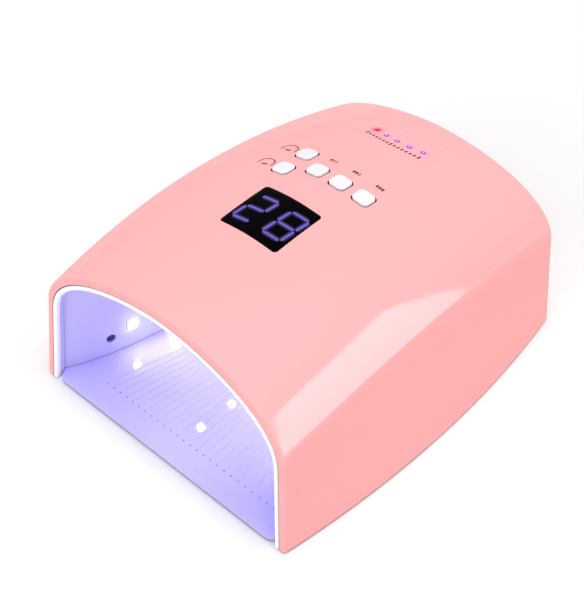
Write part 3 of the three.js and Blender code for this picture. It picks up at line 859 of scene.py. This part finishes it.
def build_bezel():
    """The white arch: a rounded lip on the front plane, and a channel inside it with painted shade and
    lamp light.
    """
    face = -BEZEL_FACE
    profile = [(0, BEZEL_DEPTH), (0, TRIM_LIP)]
    profile += [(-i, d - TRIM_PROUD) for i, d in reversed(quarter(TRIM_OUTER_EDGE, 4))]
    profile += [(face + i, d - TRIM_PROUD) for i, d in quarter(TRIM_LIP, 8)]
    profile += [(face + i, TRIM_SIDE + d) for i, d in TRIM_CHANNEL]
    profile += [(face + TRIM_CHANNEL[-1][0], BEZEL_DEPTH)]
    rows = [arch(offset_half(opening_half(), offset), depth) for offset, depth in profile]
    bezel = as_object("trim_skin", sheet_mesh("trim_skin", rows + [rows[0]], close_rim=True))
    finish_piece(bezel, white_gloss, "white_trim", ["front_bezel"])
    # Painted shade and lamp light: the channel inside the lip takes the chamber's darker violet.
    paint(bezel, liner_painted_lamplight, lambda side: front_depth(side.center) > TRIM_SIDE)


def liner_row(depth, offset=0.0):
    return arch(offset_half(liner_half(depth), offset), depth, LINER_BOTTOM)


def local_frame(x_axis, y_axis, z_axis, origin):
    place = Matrix((x_axis, y_axis, z_axis)).transposed().to_4x4()
    place.translation = origin
    return place


def pointing_out(direction, point):
    """The direction or its opposite, whichever points away from the plane of symmetry."""
    return -direction if direction.x * point.x < 0 else direction


def box_frame(name):
    """A CAD block's frame, with the block's depth.

    The frame's origin is on the face towards the chamber, and z runs out of the chamber."""
    unique = []
    for vertex in frame["nodes"][name].data.vertices:
        if all((vertex.co - other).length > SAME_POINT for other in unique):
            unique.append(vertex.co.copy())
    centre = sum(unique, Vector()) / len(unique)
    edges = sorted((p - unique[0] for p in unique[1:]), key=lambda edge: edge.length)[:3]
    thin = edges.pop(0)
    out = pointing_out(thin.normalized(), centre)
    inward = max(edges, key=lambda edge: abs(edge.normalized().y)).normalized()
    if inward.y < 0:
        inward = -inward
    across = inward.cross(out).normalized()
    return local_frame(across, inward, out, centre - out * thin.length / 2), thin.length


def facing(face):
    """The same for two faces that look in the same or in opposite directions."""
    return tuple(round(abs(c), 3) for c in face.normal)


def cylinder_frame(name):
    """A CAD cylinder's frame: its origin is on the end towards the chamber, and z runs out of it."""
    mesh = frame["nodes"][name].data
    areas = {}
    for face in mesh.polygons:
        areas[facing(face)] = areas.get(facing(face), 0) + face.area
    widest = max(areas, key=areas.get)
    ends = [face for face in mesh.polygons if facing(face) == widest]
    out = pointing_out(ends[0].normal.copy(), ends[0].center)
    inner = min(face.center.dot(out) for face in ends)
    near = [face for face in ends if abs(face.center.dot(out) - inner) < SAME_END]
    ring = [mesh.vertices[i].co for face in near for i in face.vertices]
    low = Vector(min(p[i] for p in ring) for i in range(3))
    high = Vector(max(p[i] for p in ring) for i in range(3))
    across = Vector((0, 0, 1)).cross(out).normalized()
    return local_frame(across, out.cross(across), out, (low + high) / 2)


def build_liner():
    """The white dome, from its back over its outside and in at its mouth, with the lamps' windows."""
    outer_end = LINER_END + LINER_WALL
    span = outer_end - LINER_START
    rows = [squeezed(liner_row(outer_end, LINER_WALL), share) for share in (0, 0.5)]
    rows += [liner_row(outer_end - span * t, LINER_WALL) for t in steps(LINER_OUTSIDE_STEPS)]
    rows += [liner_row(LINER_START + d, i) for i, d in quarter(LINER_LIP, 4)]
    start = LINER_START + LINER_LIP
    inner_span = LINER_END - DEEP_CORNER - start
    rows += [liner_row(start + inner_span * t) for t in steps(LINER_INSIDE_STEPS)[1:]]
    rows += [liner_row(LINER_END - d, -i) for i, d in reversed(quarter(DEEP_CORNER, 8)[:-1])]
    rows += [squeezed(rows[-1], share) for share in (0.66, 0.33, 0)]
    liner = as_object("chamber_skin", sheet_mesh("chamber_skin", rows, close_rim=True))
    outline = rounded_rect(BEAD_WINDOW_SIZE, BEAD_WINDOW_SIZE, BEAD_WINDOW_CORNER, count=4)
    levels = in_mm((0, 4), (0, -0.8), (0.25, -1.6), (0.8, -2.3), (0.8, -5))
    windows = [stack(box_frame(name)[0], outline, levels) for name in BEADS]
    profile = from_radius(SENSOR_RADIUS + GAP, (0, 4), (0, -0.1), (0.5, -0.7), (0.5, -3))
    windows += [turned(cylinder_frame("sensor_" + side), profile) for side in SIDES]
    cut(liner, *windows)
    finish_piece(liner, liner_painted_lamplight, "reflector_white", ["reflector_liner"], sharp=LINER_SHARP)
    even_normals(liner)


def build_beads():
    """The lamp beads, each a white package with a lit lens, and the lenses of the two sensors."""
    package = rounded_rect(BEAD_SIZE, BEAD_SIZE, BEAD_CORNER, count=4)
    package_front = in_mm((0, 0.7), (-0.15, 0.5), (-0.6, 0.45))
    lens = rounded_rect(BEAD_LENS_SIZE, BEAD_LENS_SIZE, BEAD_LENS_CORNER, count=4)
    lens_levels = in_mm((0, 0.8), (0, 0.2), (-0.15, 0.05), (-0.6, -0.1), (-1.2, -0.25), (-1.8, -0.35))
    for name in BEADS:
        place, depth = box_frame(name)
        body = stack(place, package, [(0, depth)] + package_front)
        add_piece(name + "_skin", [body], frame_plastic, "lamp_bead", [name])
        add_piece(name + "_lens", [stack(place, lens, lens_levels)], bead_light, "lamp_bead")
    profile = from_radius(SENSOR_RADIUS, (0, 4.6), (0, 0.3), (-0.2, 0.05), (-0.8, -0.15), (-1.7, -0.27))
    profile += in_mm((0.2, -0.3))
    for side in SIDES:
        name = "sensor_" + side
        body = turned(cylinder_frame(name), profile)
        add_piece(name + "_skin", [body], sensor_navy, "sensor_lens", [name])


build_bezel()
build_liner()
build_beads()

# ---- Keys, display and gauge ----

KEY_SIZE = 10.4 * MM
KEY_CORNER = 3.1 * MM
KEY_PROUD = 1.25 * MM
KEY_EDGE = 0.7 * MM
DOME_RISE = 0.05 * MM
# Below this depth under the roof, a key's sides are painted black as shade.
SKIRT_SHADE_TOP = 0.7 * MM

WINDOW_FACE = -0.08 * MM
WINDOW_FIT = 0.1 * MM
WINDOW_BEVEL = 0.3 * MM

# Each segment's ends on a digit's lattice: columns 0 and 1, levels 0 to 2.
SEGMENTS = {
    "a": ((0, 2), (1, 2)), "b": ((1, 2), (1, 1)), "c": ((1, 1), (1, 0)), "d": ((0, 0), (1, 0)),
    "e": ((0, 1), (0, 0)), "f": ((0, 2), (0, 1)), "g": ((0, 1), (1, 1)),
}
DIGITS = {"abged": -16.9 * MM, "abcdefg": 4 * MM}  # lit segments: the lower left corner's place along x
DIGIT_FOOT = -10.8 * MM
DIGIT_WIDTH = 11.6 * MM
DIGIT_RISE = 0.7 * MM
DIGIT_HEIGHT = 20.2 * MM
DIGIT_SLANT = 1.9 * MM
SEGMENT_GAP = 0.65 * MM
SEGMENT_POINT = 0.45
# A segment is three strips, one over the other: the name, the width and the material.
DIGIT_LAYERS = (
    ("digit_haze", 3.4 * MM, digit_haze),
    ("digit_glow", 2.2 * MM, digit_glow),
    ("digits", 1.2 * MM, digit_light),
)
DIGIT_SUNK = 0.1 * MM
PRINT_SUNK = 0.05 * MM
PRINT_PROUD = 0.03 * MM
MARK_LOOK = (ink, "black_plastic")

TALLY_OFFSET = 13.4 * MM
TALLY_PITCH = 1.8 * MM
TALLY_SLANT = 0.2 * MM
TALLY_HEIGHT = 2.2 * MM
THICK_BAR = 1.4 * MM
THIN_BAR = 0.8 * MM
ICON_OFFSET = Vector((-12.9 * MM, -1.9 * MM))
ICON_HALF_WIDTH = 4.7 * MM
ICON_SIDE = 2.6 * MM
ICON_ARCH = 3.9 * MM
ICON_LINE = 0.75 * MM
ICON_BAR_OFFSET = Vector((0.1 * MM, 0.6 * MM))
ICON_BAR = (3.4 * MM, 0.6 * MM)
ICON_BAR_LINE = 1.4 * MM
SCALE_COUNT = 15
SCALE_PITCH = 2.6 * MM
SCALE_ROW = 70.3 * MM
SCALE_BOW = 6.9
SCALE_SLANT = 0.3 * MM
SCALE_GROUP = 7
SCALE_LONG = 3 * MM
SCALE_SHORT = 2.2 * MM
SCALE_LINE = 1.2 * MM
INDICATOR_MIDDLE = 0.8 * MM


def build_keys():
    """Each key: a white cap that stands proud of the roof, with its sides below it painted black as the
    shade in the gap round it.
    """
    for name in KEY_NAMES:
        outline = rounded_rect(KEY_SIZE, KEY_SIZE, KEY_CORNER, *plan_centre("button_" + name))
        levels = in_mm((1.3, -3.8), (1.3, -2.9), (0, -2.9), (0, -0.6), (0, 0.2))
        levels += [(-inset, KEY_PROUD - depth) for inset, depth in reversed(quarter(KEY_EDGE, 6))]
        cap = add_piece(
            f"key_{name}_skin", [roof_rows(outline, levels, DOME_RISE)],
            key_white, "key_white", ["button_" + name], body="key_" + name,
        )
        # Painted shade: the cap's sides inside the hole are given the black plastic.
        paint(cap, black_plastic, lambda face: below_roof(face.center) > SKIRT_SHADE_TOP)


def build_window():
    levels = in_mm((0, -1.9), (0, -0.3), (-0.1, -0.15)) + [(-WINDOW_BEVEL, WINDOW_FACE)]
    body = roof_rows(grown(display_outline(), WINDOW_FIT), levels)
    add_piece("window_skin", [body], smoked_black, "display_black", ["display_window"])


def digit_strokes():
    """The lit segments' centre lines."""
    x, y = plan_centre("display_window")
    across = Vector((DIGIT_WIDTH, DIGIT_RISE))
    up = Vector((DIGIT_SLANT, DIGIT_HEIGHT)) / 2
    strokes = []
    for lit, corner in DIGITS.items():
        origin = Vector((x + corner, y + DIGIT_FOOT))
        for name in lit:
            start, end = (origin + column * across + level * up for column, level in SEGMENTS[name])
            trim = (end - start).normalized() * SEGMENT_GAP
            strokes.append([(start + trim).lerp(end - trim, t) for t in steps(8)])
    return strokes


def ribbon(line, width, low, high, pointed):
    """Rows of a flat strip along a line on the roof, with blunt or pointed ends."""
    rows = []
    last = len(line) - 1
    for i, point in enumerate(line):
        direction = (line[min(i + 1, last)] - line[max(i - 1, 0)]).normalized()
        side = Vector((-direction.y, direction.x)) * width / 2
        if i in (0, last):
            side *= 1 - pointed
        low_a, low_b = on_roof([point + side, point - side], low)
        top_a, top_b = on_roof([point + side, point - side], high)
        rows.append([low_a, top_a, top_b, low_b])
    return rows


def roof_print(name, lines, width, low=-PRINT_SUNK, high=PRINT_PROUD, pointed=0.0, look=MARK_LOOK):
    """Flat strips along lines on the roof; the look is their material and slot."""
    add_piece(name, [ribbon(line, width, low, high, pointed) for line in lines], *look)


def build_digits():
    lines = digit_strokes()
    low = WINDOW_FACE - DIGIT_SUNK
    for i, (name, width, material) in enumerate(DIGIT_LAYERS):
        high = WINDOW_FACE + (i + 1) * PRINT_PROUD
        roof_print(name, lines, width, low, high, SEGMENT_POINT, (material, "display_black"))


def dash(x, y, dx, dy):
    start, end = Vector((x - dx / 2, y - dy / 2)), Vector((x + dx / 2, y + dy / 2))
    return [start.lerp(end, t) for t in steps(2)]


def build_timer_marks():
    """Behind each timer key, three bars, of which one, two or three are thick."""
    thick, thin = [], []
    for i, name in enumerate(KEY_NAMES[:3]):
        x, y = plan_centre("button_" + name)
        for bar in range(3):
            line = dash(x + (bar - 1) * TALLY_PITCH, y + TALLY_OFFSET, TALLY_SLANT, TALLY_HEIGHT)
            (thick if bar <= i else thin).append(line)
    roof_print("timer_marks_thick", thick, THICK_BAR)
    roof_print("timer_marks_thin", thin, THIN_BAR)


def build_mode_marks():
    """Beside each mode key, an arch over a bar."""
    arches, bars = [], []
    half = Vector((ICON_HALF_WIDTH, 0))
    for name in KEY_NAMES[3:]:
        foot = Vector(plan_centre("button_" + name)) + ICON_OFFSET
        line = [foot - half]
        for t in steps(16):
            angle = math.pi * (1 - t)
            rise = ICON_SIDE + ICON_ARCH * math.sin(angle)
            line.append(foot + Vector((ICON_HALF_WIDTH * math.cos(angle), rise)))
        arches.append(line + [foot + half])
        bars.append(dash(*(foot + ICON_BAR_OFFSET), *ICON_BAR))
    roof_print("mode_marks", arches, ICON_LINE)
    roof_print("mode_bars", bars, ICON_BAR_LINE)


def build_scale():
    """A bowed row of dashes in the gauge's recess, where the longer ones end a group."""
    dashes = []
    for i in range(SCALE_COUNT):
        x = (i - (SCALE_COUNT - 1) / 2) * SCALE_PITCH
        length = SCALE_SHORT if i % SCALE_GROUP else SCALE_LONG
        dashes.append(dash(x, SCALE_ROW + SCALE_BOW * x * x, SCALE_SLANT, length))
    floor = -RECESS_DEPTH
    roof_print("gauge_marks", dashes, SCALE_LINE, floor - PRINT_SUNK, floor + PRINT_PROUD)


def build_indicators():
    """Five small lenses: the first is lit, and the others are violet rings round pale middles."""
    profile = in_mm((0, -3), (0, 0), (-0.2, 0.12), (-0.65, 0.16))
    levels = [(growth, lift - RECESS_DEPTH) for growth, lift in profile]
    for i in range(INDICATOR_COUNT):
        name = f"indicator_{i + 1}"
        centre = plan_centre(name)
        body = roof_rows(circle(INDICATOR_RADIUS, *centre), levels, DOME_RISE)
        material = lens_violet if i else lens_red
        lens = add_piece(name + "_skin", [body], material, "indicator_lens", [name])
        if i:
            middle = Vector(centre)
            paint(lens, lens_pale, lambda face: (face.center.xy - middle).length < INDICATOR_MIDDLE)


build_keys()
build_window()
build_digits()
build_timer_marks()
build_mode_marks()
build_scale()
build_indicators()

# ---- Floor plate, feet and underside ----

plate_low, plate_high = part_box("base_plate")
PLATE_EDGE_GAP = 3.4 * MM
PLATE_TONGUE = 83.8 * MM
PLATE_CORNER = 6 * MM
PLATE_EDGE = 0.35 * MM
PLATE_SHARP = 5
PLATE_BACK_ROW = plate_high.y - 12 * MM
TONGUE_END = BEZEL_DEPTH + 1 * MM
GROOVE_COUNT = 26
GROOVE_PITCH = 5.1 * MM
GROOVE_MIDDLE = 5.8 * MM
GROOVE_ROW = FRONT + 17.5 * MM
GROOVE_END = FRONT + 150 * MM
GROOVE_RAMP = 1.2 * MM
GROOVE_STEPS = 24
GROOVE_FAN = 3.9
GROOVE_WIDTH = 0.35 * MM
GROOVE_DEPTH = 0.12 * MM
# Shares of half the width and of the depth across a groove.
GROOVE_SECTION = ((-1, 0), (-0.45, 1), (0.45, 1), (1, 0))
GROOVE_SUNK = (0.02 * GROOVE_DEPTH, 1.1 * GROOVE_DEPTH)
DOT_ROW = FRONT + 15.4 * MM
DOT_RADIUS = 0.48 * MM
DOT_SIDES = 16

CORNERS = [f"{end}_{side}" for end in ("front", "rear") for side in SIDES]
SCREW_SHANK = 1.2 * MM
SCREW_TIP = 0.3 * MM
SCREW_POINT = 1.4 * MM
SCREW_NECK = 1.4 * MM
CROSS_WIDTH = 0.6 * MM
CROSS_LENGTH = 3 * MM
CROSS_CORNER = 0.15 * MM
MAGNET_BEVEL = 0.3 * MM
JACK_BORE = 2.8 * MM
JACK_BORE_DEPTH = 9 * MM
JACK_LENGTH = 12 * MM


def plate_half_width(y):
    depth = y - FRONT
    if depth < PLATE_CORNER:
        short = math.sqrt(max(0.0, PLATE_CORNER ** 2 - (PLATE_CORNER - depth) ** 2))
        return PLATE_TONGUE - PLATE_CORNER + short
    if depth < TONGUE_END:
        return PLATE_TONGUE
    return along(BASE_HALF_WIDTH, depth / HALF_LENGTH - 1) - PLATE_EDGE_GAP


def groove_x(i, y):
    start = GROOVE_MIDDLE + GROOVE_PITCH * (i - (GROOVE_COUNT - 1) / 2)
    return start * (1 - GROOVE_FAN * (y - GROOVE_ROW))


def plate_row(y):
    """The plate's section at y: a soft edge, and a shallow groove for each dot."""
    half = plate_half_width(y)
    depth = GROOVE_DEPTH if GROOVE_ROW < y < GROOVE_END else 0.0
    columns = [(-half, -PLATE_EDGE), (-half + PLATE_EDGE, 0)]
    for i in range(GROOVE_COUNT):
        x = groove_x(i, min(max(y, GROOVE_ROW), GROOVE_END))
        columns += [(x + share * GROOVE_WIDTH / 2, -depth * drop) for share, drop in GROOVE_SECTION]
    columns += [(half - PLATE_EDGE, 0), (half, -PLATE_EDGE)]
    row = [Vector((x, y, plate_high.z + z)) for x, z in columns]
    return row + [Vector((half, y, plate_low.z)), Vector((-half, y, plate_low.z))]


def in_groove(face):
    """Whether a face is on a groove's floor or sides."""
    sunk = plate_high.z - face.center.z
    return GROOVE_SUNK[0] < sunk < GROOVE_SUNK[1] and face.normal.z > 0.5


def build_plate():
    """The plate in rows from front to back, close together where its outline or the grooves change."""
    ys = [FRONT + PLATE_CORNER * (1 - math.cos(math.pi / 2 * t)) for t in steps(8)]
    ys += [FRONT + TONGUE_END - 0.1 * MM, FRONT + TONGUE_END + 0.05 * MM]
    ys += [DOT_ROW, GROOVE_ROW - 0.3 * MM, GROOVE_ROW]
    first = GROOVE_ROW + GROOVE_RAMP
    ys += [first + (GROOVE_END - GROOVE_RAMP - first) * t for t in steps(GROOVE_STEPS)]
    ys += [GROOVE_END, PLATE_BACK_ROW, plate_high.y]
    plate = as_object("plate_skin", lump_mesh("plate_skin", [plate_row(y) for y in ys]))
    pit = from_radius(DOT_RADIUS, (0, -0.5), (0, -0.1), (0.2, 0.2))
    dot = from_radius(DOT_RADIUS, (-0.03, -0.48), (-0.03, -0.16)) + in_mm((0.2, -0.1))
    places = []
    for i in range(GROOVE_COUNT):
        places.append(Matrix.Translation((groove_x(i, GROOVE_ROW), DOT_ROW, plate_high.z)))
    cut(plate, *[turned(place, pit, DOT_SIDES) for place in places])
    finish_piece(plate, plate_coat_painted_lamplight, "floor_plate", ["base_plate"], body="base", sharp=PLATE_SHARP)
    # Painted shade and lamp light on the grooves' floors and sides.
    paint(plate, groove_painted_lamplight_and_shade, in_groove)
    dots = [turned(place, dot, DOT_SIDES) for place in places]
    add_piece("plate_dots", dots, dot_painted_lamplight, "floor_plate", body="base")


def corner_frame(name):
    """A frame at the foot of an upright CAD piece, with the piece's radius and height."""
    low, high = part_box(name)
    return Matrix.Translation((*plan_centre(name), low.z)), (high.x - low.x) / 2, high.z - low.z


def build_feet():
    for corner in CORNERS:
        name = "foot_" + corner
        place, radius, height = corner_frame(name)
        profile = [(radius, height)]
        profile += from_radius(radius, (0, 0.5), (-0.15, 0.2), (-0.5, 0), (-1.6, 0), (-1.9, 0.35))
        profile += in_mm((1, 0.4))
        add_piece(name + "_skin", [turned(place, profile)], rubber, "rubber_foot", [name], body="base")


def build_screw(name):
    place, radius, height = corner_frame(name)
    profile = [(SCREW_TIP, height), (SCREW_SHANK, height - SCREW_POINT), (SCREW_SHANK, SCREW_NECK)]
    profile += from_radius(radius, (0, 1.1), (0, 0.5), (-0.5, 0.1), (-1.2, 0))
    screw = as_object(name + "_skin", lump_mesh(name, turned(place, profile)))
    for width, length in ((CROSS_WIDTH, CROSS_LENGTH), (CROSS_LENGTH, CROSS_WIDTH)):
        slot = rounded_rect(width, length, CROSS_CORNER, count=2)
        cut(screw, stack(place, slot, in_mm((0, -1), (0, 0), (-0.1, 0.9))))
    finish_piece(screw, bright_metal, "bright_steel", [name])


def build_magnet(name):
    place, radius, height = corner_frame(name)
    inner = radius - MAGNET_BEVEL
    profile = [(inner, 0), (radius, MAGNET_BEVEL), (radius, height - MAGNET_BEVEL), (inner, height)]
    add_piece(name + "_skin", [turned(place, profile)], bright_metal, "bright_steel", [name])


def build_jack():
    """The charging inlet: a round socket flush in the back, with its pin, on a block inside."""
    rear = rear_frame(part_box("charging_jack")[1].y)
    body = [(1 * MM, -JACK_LENGTH), (JACK_RADIUS, -JACK_LENGTH)]
    body += from_radius(JACK_RADIUS, (0, -0.3), (-0.3, 0)) + from_radius(JACK_BORE, (0.4, 0), (0, -0.5))
    body += [(JACK_BORE, -JACK_BORE_DEPTH), (1.1 * MM, -JACK_BORE_DEPTH)]
    add_piece("jack_skin", [turned(rear, body)], black_plastic, "black_plastic", ["charging_jack"])
    pin = [(1 * MM, -JACK_BORE_DEPTH - 0.5 * MM)] + in_mm((1, -2), (0.75, -1.5), (0.3, -1.3))
    add_piece("jack_pin", [turned(rear, pin)], bright_metal, "bright_steel")


build_plate()
build_feet()
for corner_name in CORNERS:
    build_screw("screw_" + corner_name)
    build_magnet("magnet_" + corner_name)
build_jack()

# ---- CAD nodes that keep their own shape ----

KEPT_MATERIALS = {
    "frame_white": frame_plastic,
    "black_plastic": black_plastic,
    "circuit_board": board_green,
    "led_board": board_white,
    "cell_wrap": cell_blue,
}


def paint_kept_nodes():
    slots = {part["node"]: part["material_slot"] for part in frame["record"]["subparts"]}
    for name, made in frame["nodes"].items():
        material = KEPT_MATERIALS.get(slots[name])
        if material:
            made.data.materials.clear()
            made.data.materials.append(material)


paint_kept_nodes()

# ---- Stage ----

FLOOR_SIZE = 8
WORLD_COLOUR = (1, 1, 1, 1)
WORLD_STRENGTH = 0.4
SUN_ANGLE = math.radians(40)
# Each sun's strength, and the direction that it shines from.
SUNS = {
    "top_light": (2.45, Vector((0.1, 0, 1))),
    "front_light": (1.1, Vector((0.1, -0.9, 0.4))),
    "back_light": (1.0, Vector((0.35, 0.93, 0.1))),
}
SOFTBOX_AZIMUTH = math.radians(111)
SOFTBOX_DISTANCE = 1.3
SOFTBOX_WIDTH = 1
SOFTBOX_HEIGHT = 1.5
SOFTBOX_RADIANCE = 3.85


def add_light(name, kind, place, towards):
    """A light with its data, placed and turned so that it faces away from the direction given."""
    data = bpy.data.lights.new(name, kind)
    light = bpy.data.objects.new(name, data)
    scene.collection.objects.link(light)
    light.location = place
    light.rotation_euler = towards.to_track_quat("Z", "Y").to_euler()
    return light, data


def build_softbox():
    """The tall softbox to the right. Only glossy faces show it: it is the band along the shoulder."""
    towards = bearing(SOFTBOX_AZIMUTH)
    place = towards * SOFTBOX_DISTANCE + Vector((0, 0, SOFTBOX_HEIGHT / 2))
    light, data = add_light("softbox", "AREA", place, towards)
    data.shape = "RECTANGLE"
    data.size = SOFTBOX_WIDTH
    data.size_y = SOFTBOX_HEIGHT
    data.energy = SOFTBOX_RADIANCE * math.pi * SOFTBOX_WIDTH * SOFTBOX_HEIGHT
    light.visible_diffuse = False


def build_stage():
    """The floor, the even light of the room, the suns and the softbox."""
    half = FLOOR_SIZE / 2
    rows = [[Vector((x, y, 0)) for x in (-half, half)] for y in (-half, half)]
    floor = as_object("floor", sheet_mesh("floor", rows))
    paper = mottled("floor_paper", (226, 226, 226), (228, 228, 228), 2, 0.8, 0.05, 0.02, 400)
    floor.data.materials.append(paper)
    world = bpy.data.worlds.new("studio")
    world.use_nodes = True
    set_inputs(world.node_tree.nodes["Background"], Color=WORLD_COLOUR, Strength=WORLD_STRENGTH)
    scene.world = world
    for name, (strength, towards) in SUNS.items():
        light, data = add_light(name, "SUN", towards, towards)
        data.energy = strength
        data.angle = SUN_ANGLE
        light.visible_glossy = False
    build_softbox()
    scene.view_settings.view_transform = "Standard"
    scene.view_settings.look = "None"


build_stage()
